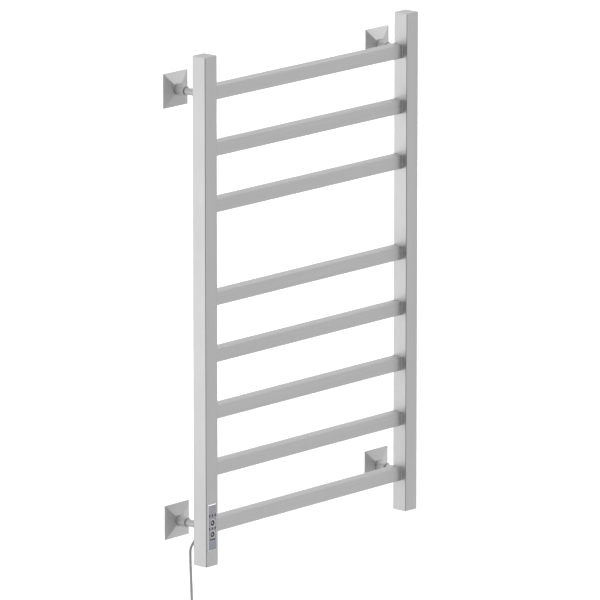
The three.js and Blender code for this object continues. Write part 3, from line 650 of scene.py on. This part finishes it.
class RACK_OT_cord(bpy.types.Operator):
    """Adds the mains cord with its coil, and the strap around the coil."""
    bl_idname = "rack.cord"
    bl_label = "Cord and coil"

    def execute(self, context):
        settings = context.scene.rack_cord
        path = cord_path(settings)
        data = bpy.data.curves.new("mains_cord", "CURVE")
        data.dimensions = "3D"
        data.bevel_depth = settings.diameter / 2
        data.bevel_resolution = 3
        data.use_fill_caps = True
        spline = data.splines.new("POLY")
        spline.points.add(len(path) - 1)
        spline.points.foreach_set("co", np.column_stack([path, np.ones(len(path))]).ravel())
        spline.use_smooth = True
        data.materials.append(cord_sheath())
        cord = bpy.data.objects.new("mains_cord", data)
        context.scene.collection.objects.link(cord)
        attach(cord, "rack")
        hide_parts("power_cord", "cord_coil")
        with_pieces = [self.tie(), self.plug_shell(), self.plug_blades()]
        self.boot()
        return {"FINISHED"}

    def tie(self):
        """The strap: a rounded loop about X with soft edges, and a buckle over its top."""
        centre, half = place_of("coil_tie")
        wall, corner, wide = 1.2 * MM, 2.4 * MM, half[0]
        buckle_wide, buckle_high = 3.6 * MM, 1.1 * MM
        loop = soften([
            (-wall, -wide), (0, -wide), (0, wide), (-wall, wide), (-wall, 0), (-wall, -wide),
        ], 0.3 * MM, steps=2)
        strap = boxed(loop + (corner, 0), half[1] - corner, half[2] - corner)
        buckle = soften([
            (0, -buckle_wide), (buckle_high, -buckle_wide), (buckle_high, buckle_wide),
            (0, buckle_wide),
        ], 0.5 * MM, steps=3)
        head = centre + (0, 0, half[2] - 0.7 * MM)
        grids = [
            ring_grid(strap, "x", centre, per_corner=5),
            ring_grid(boxed(buckle, 3.0 * MM, 0.2 * MM), "x", head, per_corner=3, solid=True),
        ]
        return new_piece("coil_strap", grids, black_plastic(), "rack", ["coil_tie"])

    def plug_ends(self):
        """The plug's axis, the top of its nose and its face."""
        centre, _ = place_of("plug_body")
        low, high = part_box("plug_body")
        return (centre[0], centre[1], 0), high[2], low[2]

    def plug_shell(self):
        """The moulded plug: a ribbed nose, and a grip with finger grooves."""
        axis, top, _ = self.plug_ends()
        shoulder = top - 13.5 * MM
        nose = soften(turned([
            (3.0 * MM, top), (3.5 * MM, top - 0.6 * MM),
            *[(radius * MM, top - down * MM) for down, radius in (
                (2.4, 3.95), (2.5, 3.4), (3.6, 3.6), (3.7, 4.35), (5.4, 4.9), (5.5, 4.2),
                (6.6, 4.5), (6.7, 5.3), (8.4, 5.9), (8.5, 5.1), (9.6, 5.5), (9.7, 6.3),
                (11.6, 7.0))],
            (7.5 * MM, shoulder - 1.5 * MM),
        ]), 0.25 * MM, steps=2)
        grip = []
        for depth in np.linspace(8, 20, 5):
            grip += [(0, -depth), (-0.9, -depth - 0.7), (-0.9, -depth - 1.3), (0, -depth - 2.0)]
        outline = [(-6.5, 0), (-0.6, 0), (0, -0.9), *grip, (0.0, -32.2), (-0.7, -33.5),
                   (-2.0, -33.5), (-2.0, -30.5), (-6.0, -30.5)]
        profile = np.array(outline) * MM + (5 * MM, shoulder)
        body = soften(boxed(profile, 8 * MM, 6.5 * MM), 0.4 * MM, steps=3)
        grids = [
            ring_grid(nose, "z", axis, per_corner=8, solid=True),
            ring_grid(body, "z", axis, per_corner=8, solid=True),
        ]
        return new_piece("plug_shell", grids, black_plastic(), "rack", ["plug_body"])

    def plug_blades(self):
        """Two flat blades and a round earth pin, standing on an insert in the plug's face."""
        axis, _, face = self.plug_ends()
        insert = soften(boxed([(-4, 0), (0, 0), (0, 2.7), (-4, 2.7)], 0, 0) * MM
                        + (10.7 * MM, 9.2 * MM, 2.8 * MM, face), 0.3 * MM, steps=2)
        blade = soften([
            (0.75, 3.15, 0, 1), (0.75, 3.15, 0, -13.8), (0.45, 2.4, 0, -16.0),
        ], 0.4, steps=3) * MM + (0, 0, 0, face)
        earth = soften(turned([(2.4, 1), (2.4, -15.2), (1.9, -16.8), (0.8, -17.0)]), 0.6)
        earth = earth * MM + (0, 0, 0, face)
        across, back = BLADE_OFFSET
        grids = [ring_grid(insert, "z", axis, per_corner=5, solid=True)]
        for side in (-1, 1):
            place = np.add(axis, (side * across, back, 0))
            grids.append(ring_grid(blade, "z", place, per_corner=0, solid=True))
        place = np.add(axis, (0, EARTH_OFFSET, 0))
        grids.append(ring_grid(earth, "z", place, per_corner=6, solid=True))
        return new_piece("plug_blades", grids, plain_brass(), "rack", ["plug_pins"])

    def boot(self):
        """The ribbed strain relief, turned about an axis 45 degrees down and back from the post."""
        exit_point = np.array(CORD_EXIT)
        ribs = []
        for start, radius in ((4.2, 4.9), (7.2, 4.5), (10.2, 4.1), (13.2, 3.7), (16.2, 3.3)):
            ribs += [(radius, start), (radius - 0.1, start + 2.1),
                     (radius - 0.95, start + 2.2), (radius - 1.0, start + 2.9)]
        sleeve = soften(turned([(5, -1), (5, 4.1), *ribs, (3.0, 19.4), (3.0, 20.7), (2.5, 21.0)]),
                        0.25, steps=2) * MM
        straight = ring_grid(sleeve, "z", (0, 0, 0), per_corner=6, solid=True)
        slope = math.sqrt(0.5)
        turn = np.array([[1, 0, 0], [0, slope, slope], [0, slope, -slope]])
        leaning = straight @ turn + exit_point
        flange = soften(turned([(4.5, -5.5), (4.5, 0.0), (7, 0.0), (7, 2.0), (5.6, 3.0), (2, 3.0)]),
                        [[0.1], [0.1], [0.4], [0.6]], steps=3) * MM
        plate = ring_grid(flange, "y", exit_point, per_corner=8, solid=True)
        new_piece("cord_boot", [leaning, plate], cord_sheath(), "rack",
                  ["strain_relief"])


# ---------------------------------------------------------------- posts, caps and rungs

class RACK_OT_posts(bpy.types.Operator):
    """Adds the two square posts, with the holes for the studs and what the left one carries."""
    bl_idname = "rack.posts"
    bl_label = "Posts"

    def execute(self, context):
        steel = context.scene.rack_steel
        for side in ("left", "right"):
            centre, half = place_of(f"{side}_post")
            edge = steel.post_edge
            length = half[2]
            profile = [(-POST_WALL, -length), (0, -length), (0, length), (-POST_WALL, length),
                       (-POST_WALL, -length)]
            softened = soften(profile, 0.25 * MM, steps=2)
            stations = boxed(softened + (edge, 0), half[0] - edge, half[1] - edge)
            grids = [ring_grid(stations, "z", centre, per_corner=6)]
            new_piece(f"{side}_post_tube", grids, satin_steel(UPRIGHT), "rack",
                      [f"{side}_post"], cuts=self.openings(side, centre, half))
        return {"FINISHED"}

    def openings(self, side, centre, half):
        """The shapes cut from a post: stud holes, and on the left the controller's window,
        the cord's hole and the earth screw's hole."""
        back = centre[1] + half[1]

        def hole(radius, z):
            stations = turned([(radius, -3 * MM), (radius, 1 * MM)])
            return ring_grid(stations, "y", (centre[0], back, z), solid=True)

        cuts = [hole(STUD_HOLE, place_of(f"{row}_{side}_stud")[0][2]) for row in ROWS]
        if side == "left":
            panel, panel_half = place_of("control_panel")
            front = centre[1] - half[1]
            cuts.append(block_grid(
                (panel[0] - panel_half[0] - GAP, front - 1 * MM, panel[2] - panel_half[2] - GAP),
                (panel[0] + panel_half[0] + GAP, front + 3 * MM, panel[2] + panel_half[2] + GAP)))
            cuts.append(hole(CORD_HOLE, CORD_EXIT[2]))
            cuts.append(hole(SCREW_HOLE, place_of("earth_screw")[0][2]))
        return cuts


class RACK_OT_caps(bpy.types.Operator):
    """Adds the four end caps: a plate over the tube's end and a hollow plug in its bore."""
    bl_idname = "rack.caps"
    bl_label = "End caps"

    def execute(self, context):
        edge = context.scene.rack_steel.post_edge
        for side in ("left", "right"):
            post, half = place_of(f"{side}_post")
            for end, up in (("top", 1), ("bottom", -1)):
                name = f"{side}_{end}_cap"
                centre, cap = place_of(name)
                outer = abs(centre[2] + up * cap[2])
                bore = -POST_WALL - GAP
                inside = bore - CAP_THICKNESS
                foot = half[2] - CAP_PLUG_DEPTH
                under = outer - CAP_THICKNESS
                profile = np.array([
                    (-8 * MM, outer), (0, outer), (0, half[2]), (bore, half[2]), (bore, foot),
                    (inside, foot), (inside, under), (-8 * MM, under),
                ])
                softened = soften(profile, [0.45 * MM, 0.2 * MM] + [0.1 * MM] * 4, steps=3)
                stations = boxed(softened + (edge, 0), half[0] - edge, half[1] - edge)
                stations[:, 3] *= up
                grid = ring_grid(stations, "z", (post[0], post[1], 0), per_corner=6, solid=True)
                new_piece(f"{name}_plate", [grid], satin_steel(LEVEL), "rack", [name])
        return {"FINISHED"}


class RACK_OT_rungs(bpy.types.Operator):
    """Adds the eight box rungs, each with rounded edges and a weld fillet at both ends."""
    bl_idname = "rack.rungs"
    bl_label = "Rungs"

    def execute(self, context):
        steel = context.scene.rack_steel
        post, post_half = place_of("right_post")
        reach = post[0] - post_half[0] + 0.1 * MM
        for name in RUNGS:
            centre, half = place_of(name)
            weld = steel.weld
            profile = np.array([
                (-RUNG_WALL, -reach), (weld, -reach), (0, weld * 1.4 - reach),
                (0, reach - weld * 1.4), (weld, reach), (-RUNG_WALL, reach), (-RUNG_WALL, -reach),
            ])
            softened = soften(profile, [0.1 * MM, weld, weld, 0.1 * MM, 0.1 * MM], steps=3)
            edge = steel.rung_edge
            stations = boxed(softened + (edge, 0), half[1] - edge, half[2] - edge)
            grid = ring_grid(stations, "x", centre, per_corner=8)
            new_piece(f"{name}_tube", [grid], satin_steel(LEVEL), "rack", [name])
        return {"FINISHED"}


# ---------------------------------------------------------------- wall brackets

class RACK_OT_brackets(bpy.types.Operator):
    """Adds the four wall brackets: base plate, pyramid cover, sleeve and stud."""
    bl_idname = "rack.brackets"
    bl_label = "Wall brackets"

    def execute(self, context):
        for corner in CORNERS:
            place, _ = place_of(f"{corner}_stud")
            axis = np.array((place[0], 0, place[2]))
            self.base(corner, axis)
            self.cover(corner, axis)
            self.sleeve(corner, axis)
            self.stud(corner, axis)
        return {"FINISHED"}

    def base(self, corner, axis):
        """A round plate with a softened edge and two countersunk holes for wall screws."""
        profile = soften([(14, 0), (19, 0), (19, -3.5), (14, -3.5)], 0.5, steps=3)
        plate = ring_grid(turned(profile) * MM, "y", axis, per_corner=12, solid=True)
        sink = np.array([(2.3, 1), (2.3, -1.6), (4.4, -3.6), (4.4, -4.5)]) * MM
        holes = [ring_grid(turned(sink), "y", axis + (side * BASE_SCREW_OFFSET, 0, 0), solid=True)
                 for side in (-1, 1)]
        new_piece(f"{corner}_base_plate", [plate], zinc_plate(), "wall_fixings",
                  [f"{corner}_base"], cuts=holes)

    def cover(self, corner, axis):
        """A thin four-sided pyramid. Its rings go from the rim up the slope to the neck, in to the
        round bore, and back down the inside; each row is (half size, corner radius, Y)."""
        rows = np.array([
            (29.25, 0.5, -0.3), (30.5, 1.0, -0.3), (30.5, 1.0, -2.0), (10.5, 0.8, -8.0),
            (9.3, 9.3, -8.0), (9.3, 9.3, -6.75), (10.5, 0.8, -6.75), (29.25, 0.5, -1.1),
            (29.25, 0.5, -0.3),
        ]) * MM
        half, radius, along = rows.T
        stations = soften(np.column_stack([half, half, radius, along]),
                          np.array([0.2, 0.35, 0.5, 0.1, 0.1, 0.2, 0.2]) * MM, steps=3)
        grid = ring_grid(stations, "y", axis, per_corner=9)
        new_piece(f"{corner}_cover_plate", [grid], satin_steel(LEVEL),
                  f"{corner}_cover", [f"{corner}_cover"])

    def sleeve(self, corner, axis):
        """A turned tube with a foot, a bevelled rim and a tapped hole for the grub screw."""
        profile = np.array([
            (6.55, -26.8), (6.75, -27.0), (8.3, -27.0), (9.0, -26.2), (9.0, -23.6), (8.75, -23.35),
            (9.0, -23.1), (9.0, -5.8), (11.0, -5.8), (11.0, -3.8), (6.55, -3.8), (6.55, -26.8),
        ])
        reach = [0.1, 0.3, 0.3, 0.1, 0.1, 0.1, 0.3, 0.3, 0.2, 0.1]
        grid = ring_grid(turned(soften(profile, reach, steps=3)) * MM, "y", axis, per_corner=12)
        screw, _ = place_of(f"{corner}_grub_screw")
        tapped = turned([(SCREW_HOLE, -5 * MM), (SCREW_HOLE, 5 * MM)])
        hole = ring_grid(tapped, "z", screw - (0, 0, 2 * MM), solid=True)
        new_piece(f"{corner}_sleeve_tube", [grid], satin_steel(TURNED),
                  "wall_fixings", [f"{corner}_sleeve"], cuts=[hole])

    def stud(self, corner, axis):
        """A turned rod with a chamfered inner end and a spigot through the post's back wall."""
        profile = soften([
            (3.2, -59.2), (4.0, -58.4), (4.0, -55.0), (6.25, -55.0), (6.25, -14.8), (5.45, -14.0),
            (2, -14.0),
        ], 0.3, steps=3)
        grid = ring_grid(turned(profile) * MM, "y", axis, per_corner=10, solid=True)
        new_piece(f"{corner}_stud_rod", [grid], satin_steel(TURNED), "rack",
                  [f"{corner}_stud"])


# ---------------------------------------------------------------- controller

class RACK_OT_controller(bpy.types.Operator):
    """Adds the controller's panel, its buttons, rings and dots, and the smoked windows."""
    bl_idname = "rack.controller"
    bl_label = "Controller"

    def execute(self, context):
        colours = context.scene.rack_control
        self.panel(colours)
        chrome = plain_metal("bright chrome", (0.92, 0.92, 0.93), 0.12, spangle=0.03)
        dot = moulded_plastic("pale button dot", tuple(colours.dot), 0.35)
        lens = moulded_plastic("smoked lens", tuple(colours.lens), 0.12, depth=1e-6, wear=0.0,
                               Coat_Weight=0.4)
        for row in ROWS:
            self.button(row, dot)
            self.ring(row, chrome)
            dress(f"{row}_light_pipe", lens)
        dress("indicator_bar", lens)
        return {"FINISHED"}

    def panel(self, colours):
        """A plate with a bevelled front edge, seats for the rings and windows for the lights."""
        centre, half = place_of("control_panel")
        front, back = centre[1] - half[1], centre[1] + half[1]
        profile = soften([(-3 * MM, back), (0, back), (0, front + 0.75 * MM), (-1.4 * MM, front),
                          (-3 * MM, front)], [0.2 * MM, 0.15 * MM, 0.15 * MM], steps=3)
        stations = boxed(profile + (PANEL_CORNER, 0), half[2] - PANEL_CORNER,
                         half[0] - PANEL_CORNER)
        plate = ring_grid(stations, "y", (centre[0], 0, centre[2]), per_corner=5, solid=True)
        cuts = []
        for row in ROWS:
            axis, _, ring_back = depth_of(f"{row}_button_ring")
            seat = ring_back + GAP
            recess = RING_RADIUS + GAP
            stepped = turned([(recess, front - 1 * MM), (recess, seat), (BUTTON_BORE, seat),
                              (BUTTON_BORE, back + 1 * MM)])
            cuts.append(ring_grid(stepped, "y", axis, per_corner=10, solid=True))
            pipe, pipe_half = place_of(f"{row}_light_pipe")
            cuts += [self.window(pipe[0] + step * LIGHT_PITCH, pipe[2], LIGHT_HALF_WIDTH,
                                 pipe_half[2], front, back) for step in (-1, 0, 1)]
        bar, bar_half = place_of("indicator_bar")
        cuts.append(self.window(bar[0], bar[2], bar_half[0] + GAP, bar_half[2], front, back))
        new_piece("control_panel_plate", [plate], self.film(colours), "rack",
                  ["control_panel"], cuts=cuts)

    def film(self, colours):
        """Grey-lilac film on the panel's face, bluer over its blank foot; a bright bevel, where the
        normal leans 10 to 70 degrees off the face; and dark walls, where it leans further."""
        material = moulded_plastic("grey-lilac panel film", tuple(colours.panel), 0.30, depth=2e-6,
                                   wear=0.0, pebbles=1800.0, Coat_Weight=0.25, Coat_Roughness=0.2)
        tree = material.node_tree
        shader = tree.nodes["Principled BSDF"]
        place = object_place(tree)
        height = node(tree, "ShaderNodeSeparateXYZ", {"Vector": place}).outputs["Z"]
        foot = spread(tree, height, colours.foot_top + 1 * MM, colours.foot_top - 1 * MM)
        normal = node(tree, "ShaderNodeNewGeometry").outputs["True Normal"]
        lean = node(tree, "ShaderNodeSeparateXYZ", {"Vector": normal}).outputs["Y"]
        bevel = spread(tree, lean, -0.995, -0.95)
        wall = spread(tree, lean, -0.35, -0.15)
        film = shader.inputs["Base Color"].links[0].from_socket
        base = mix_colour(tree, foot, film, tuple(colours.foot))
        base = mix_colour(tree, bevel, base, tuple(colours.bezel))
        base = mix_colour(tree, wall, base, tuple(colours.lens))
        tree.links.new(base, shader.inputs["Base Color"])
        tree.links.new(maths(tree, "SUBTRACT", bevel, wall), shader.inputs["Metallic"])
        return material

    def window(self, x, z, half_x, half_z, front, back):
        """A window with small round corners, a gap taller than the lens that fills it."""
        corner = 0.25 * MM
        through = [(corner, front - 1 * MM), (corner, back + 1 * MM)]
        stations = boxed(through, half_z + GAP - corner, half_x - corner)
        return ring_grid(stations, "y", (x, 0, z), per_corner=3, solid=True)

    def button(self, row, dot_material):
        """A turned cap with a raised rim, a dished middle and a flange, and a paler dot let into it."""
        name = f"{row}_button"
        axis, front, back = depth_of(name)
        outline = np.array([
            (1.0, 0.75), (2.35, 0.75), (2.35, 0.45), (3.2, 0.3), (4.2, 0.0), (4.8, 0.0), (5.1, 0.4),
            (5.1, 3.0), (5.8, 3.0), (5.8, 4.0), (1.0, 4.0),
        ]) * MM
        outline[:, 1] += front
        outline[-4:, 1] = (back - 1 * MM, back - 1 * MM, back, back)
        cap = turned(soften(outline, 0.2 * MM, steps=3))
        new_piece(f"{name}_cap", [ring_grid(cap, "y", axis, per_corner=10, solid=True)],
                  black_plastic(), name, [name])
        dome = turned(soften(np.array([(0.3, 0.28), (1.6, 0.32), (2.25, 0.5), (2.25, 0.74),
                                       (0.3, 0.74)]) * MM + (0, front), 0.3 * MM, steps=3))
        new_piece(f"{name}_dot", [ring_grid(dome, "y", axis, per_corner=8, solid=True)],
                  dot_material, name)

    def ring(self, row, material):
        """A bright ring with a rolled front edge, let into the panel."""
        name = f"{row}_button_ring"
        axis, front, back = depth_of(name)
        profile = soften([
            (BUTTON_BORE, back), (RING_RADIUS, back), (RING_RADIUS, front),
            (BUTTON_BORE, front + 0.1 * MM), (BUTTON_BORE, back),
        ], [0.1 * MM, 0.5 * MM, 0.5 * MM], steps=5)
        new_piece(f"{name}_bezel", [ring_grid(turned(profile), "y", axis, per_corner=12)],
                  material, "rack", [name])


def dress(node_name, material):
    """Gives a CAD node its finished material."""
    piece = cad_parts[node_name]
    piece.data.materials.clear()
    piece.data.materials.append(material)


# ---------------------------------------------------------------- hidden parts and screws

class RACK_OT_wiring(bpy.types.Operator):
    """Finishes the heating cable, the circuit board and the other parts inside the left post."""
    bl_idname = "rack.wiring"
    bl_label = "Wiring and inner parts"

    def execute(self, context):
        silicone = moulded_plastic("red silicone sheath", (0.35, 0.06, 0.04), 0.55, wear=0.1)
        white = moulded_plastic("white moulded plastic", (0.74, 0.73, 0.69), 0.4, wear=0.1)
        dress("heating_cable", silicone)
        for name in ("relay", "terminal_block", "thermal_cutout"):
            dress(name, white)
        for name in ("control_housing", "gland_nut", "upper_switch", "lower_switch"):
            dress(name, black_plastic())
        dress("circuit_board", self.solder_mask())
        dress("temperature_sensor", plain_brass())
        for corner in CORNERS:
            dress(f"{corner}_grub_screw", zinc_plate())
        dress("earth_screw", zinc_plate())
        return {"FINISHED"}

    def solder_mask(self):
        """Green solder mask with paler tracks: the fine lines of a brick pattern."""
        material, tree, shader = start_material("green solder mask", Roughness=0.35, Coat_Weight=0.3)
        place = object_place(tree)
        tracks = node(tree, "ShaderNodeTexBrick", {"Vector": place, "Scale": 260.0,
                      "Mortar Size": 0.12}).outputs["Fac"]
        base = mix_colour(tree, tracks, (0.012, 0.09, 0.03), (0.03, 0.20, 0.07))
        tree.links.new(base, shader.inputs["Base Color"])
        bump(tree, shader, tracks, 3e-5)
        return material


# ---------------------------------------------------------------- stage

FLOOR_RADIUS = 40.0
CARD_RADIUS = 2.4
CARD_POINTS = 25


class RACK_OT_stage(bpy.types.Operator):
    """Adds the pale floor and the soft studio light."""
    bl_idname = "rack.stage"
    bl_label = "Stage"

    def execute(self, context):
        stage = context.scene.rack_stage
        ground = -stage.floor_height
        stations = turned([(1, 0), (FLOOR_RADIUS, 0)])
        grid = ring_grid(stations, "z", (0, 0, ground), per_corner=16)
        middle = np.broadcast_to([[[0, 0, ground]]], grid[:1].shape)
        floor = bpy.data.objects.new("floor", mesh_of("floor", [np.concatenate([middle, grid])]))
        context.scene.collection.objects.link(floor)
        floor.data.materials.append(floor_paint())
        world = bpy.data.worlds.new("studio")
        world.use_nodes = True
        background = world.node_tree.nodes["Background"]
        background.inputs["Color"].default_value = (1, 1, 1, 1)
        background.inputs["Strength"].default_value = stage.ambient
        context.scene.world = world
        self.area("backdrop light", stage.backdrop_light, place=(4.6, 4.2, 3.4), size=8.0,
                  target=(4.6, 4.2, -1.0), spread=70)
        self.area("key light", stage.key_light, place=(-4.4, 2.9, 1.1), size=3.0)
        self.area("strip light", stage.strip_light, place=(2.9, -2.2, 1.65), size=1.2)
        self.card("dark_card", stage.dark_glow, stage.dark_span, rise=(ground, 1.2))
        self.card("grey_card", stage.grey_glow, stage.grey_span, rise=(ground, -0.05))
        self.card("bright_card", stage.bright_glow, stage.bright_span, rise=(ground, 0.05))
        context.scene.view_settings.view_transform = "Standard"
        context.scene.view_settings.look = "None"
        return {"FINISHED"}

    def card(self, name, glow, span, rise):
        """A card on an arc around the rack, which only reflections see: at angle a from -Y
        towards -X its edge is (-R sin a, -R cos a), and it stands between the heights in rise."""
        angle = np.radians(np.linspace(*span, CARD_POINTS))
        arc = np.column_stack([-np.sin(angle), -np.cos(angle)]) * CARD_RADIUS
        grid = np.stack([np.column_stack([arc, np.full(len(arc), z)]) for z in rise])
        faces = [(i, i + 1, i + 1 + len(arc), i + len(arc)) for i in range(len(arc) - 1)]
        mesh = bpy.data.meshes.new(name)
        mesh.from_pydata(grid.reshape(-1, 3).tolist(), [], faces)
        card = bpy.data.objects.new(name, mesh)
        bpy.context.scene.collection.objects.link(card)
        material, _, shader = start_material(name, Roughness=1.0, Emission_Strength=glow)
        shader.inputs["Base Color"].default_value = (0, 0, 0, 1)
        shader.inputs["Emission Color"].default_value = (1, 1, 1, 1)
        mesh.materials.append(material)
        for ray in ("camera", "diffuse", "transmission", "volume_scatter", "shadow"):
            setattr(card, f"visible_{ray}", False)

    def area(self, name, power, place, size, target=(0, 0, 0), spread=180):
        """A square soft light that faces a target: it tips from straight down by the angle whose
        tangent is the target's distance over its depth, and turns by the target's bearing."""
        data = bpy.data.lights.new(name, "AREA")
        data.shape = "SQUARE"
        data.size = size
        data.energy = power
        data.spread = math.radians(spread)
        light = bpy.data.objects.new(name, data)
        bpy.context.scene.collection.objects.link(light)
        light.location = place
        aim = np.subtract(target, place)
        tip = math.atan2(math.hypot(aim[0], aim[1]), -aim[2])
        light.rotation_euler = (tip, 0, math.atan2(-aim[0], aim[1]))


# ---------------------------------------------------------------- panel and registration

class RACK_PT_panel(bpy.types.Panel):
    """The rack's pieces and settings."""
    bl_idname = "RACK_PT_panel"
    bl_label = "Towel warmer rack"
    bl_space_type = "VIEW_3D"
    bl_region_type = "UI"
    bl_category = "Towel warmer"

    def draw(self, context):
        for operator in OPERATORS:
            self.layout.operator(operator.bl_idname)
        for name in SETTINGS:
            settings = getattr(context.scene, name)
            column = self.layout.column()
            for key in settings.__annotations__:
                column.prop(settings, key)


OPERATORS = (
    RACK_OT_camera, RACK_OT_cord, RACK_OT_posts, RACK_OT_caps, RACK_OT_rungs, RACK_OT_brackets,
    RACK_OT_controller, RACK_OT_wiring, RACK_OT_stage,
)
SETTINGS = {
    "rack_steel": SteelSettings,
    "rack_control": ControlSettings,
    "rack_cord": CordSettings,
    "rack_stage": StageSettings,
}


def register():
    """Registers the classes and puts their settings on the scene."""
    for cls in (*SETTINGS.values(), *OPERATORS, RACK_PT_panel):
        bpy.utils.register_class(cls)
    for name, cls in SETTINGS.items():
        setattr(bpy.types.Scene, name, PointerProperty(type=cls))


def unregister():
    """Takes the settings off the scene and removes the classes."""
    for name in SETTINGS:
        delattr(bpy.types.Scene, name)
    for cls in (RACK_PT_panel, *reversed(OPERATORS), *reversed(SETTINGS.values())):
        bpy.utils.unregister_class(cls)


def main():
    """Builds everything in order."""
    register()
    bpy.ops.rack.camera()
    bpy.ops.rack.cord()
    bpy.ops.rack.posts()
    bpy.ops.rack.caps()
    bpy.ops.rack.rungs()
    bpy.ops.rack.brackets()
    bpy.ops.rack.controller()
    bpy.ops.rack.wiring()
    bpy.ops.rack.stage()


if __name__ == "__main__":
    main()
